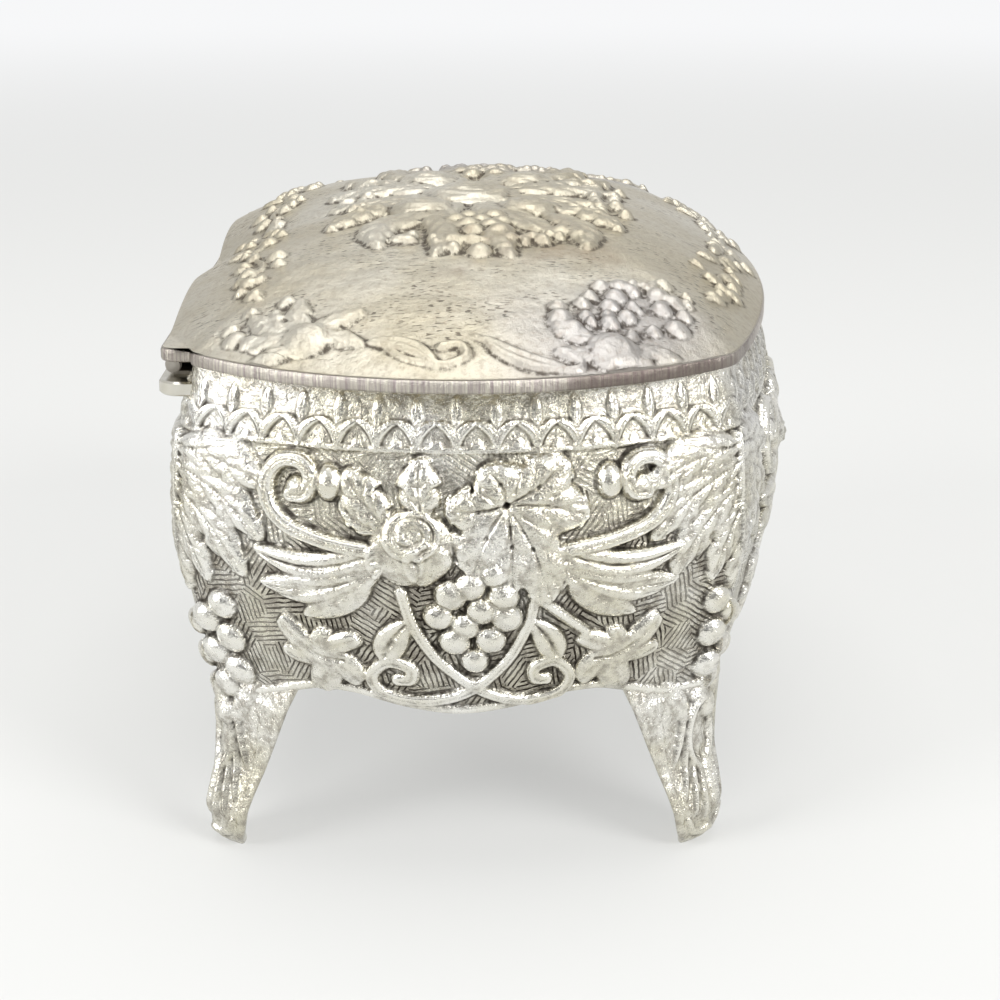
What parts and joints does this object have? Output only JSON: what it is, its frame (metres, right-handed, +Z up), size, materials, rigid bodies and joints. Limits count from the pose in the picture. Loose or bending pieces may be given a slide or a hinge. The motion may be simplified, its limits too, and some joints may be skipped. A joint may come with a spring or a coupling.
{
  "type": "trinket box",
  "caption": "Footed trinket box of silver-plated cast metal with bowed walls, a hinged domed lid and a velvet lining.",
  "frame": {"origin": "on the table under the middle of the whole box, lid closed", "axes": "+X along the hinge, +Y towards the hinged rear, +Z up"},
  "size_m": [0.1594, 0.1, 0.0945],
  "materials": {
    "plated_casting": "tarnished silver plate",
    "hinge_metal": "dull",
    "base_sheet": "dull",
    "lining_card": "matt",
    "lining_velvet": "short pile"
  },
  "bodies": {
    "box": {"body_casting": "plated_casting", "base_plate": "base_sheet", "hinge_leaf_body": "hinge_metal", "hinge_pin": "hinge_metal", "floor_card": "lining_card", "floor_velvet": "lining_velvet", "front_wall_card": "lining_card", "rear_wall_card": "lining_card", "left_wall_card": "lining_card", "right_wall_card": "lining_card", "front_wall_velvet": "lining_velvet", "rear_wall_velvet": "lining_velvet", "left_wall_velvet": "lining_velvet", "right_wall_velvet": "lining_velvet"},
    "lid": {"lid_casting": "plated_casting", "hinge_leaf_lid": "hinge_metal", "lid_card": "lining_card", "lid_velvet": "lining_velvet"}
  },
  "joints": [
    {"name": "lid_hinge", "type": "hinge", "parent": "box", "child": "lid", "pos_m": [0, 0.04817, 0.0768], "axis": [-1, 0, 0], "range_deg": [0, 92]}
  ]
}
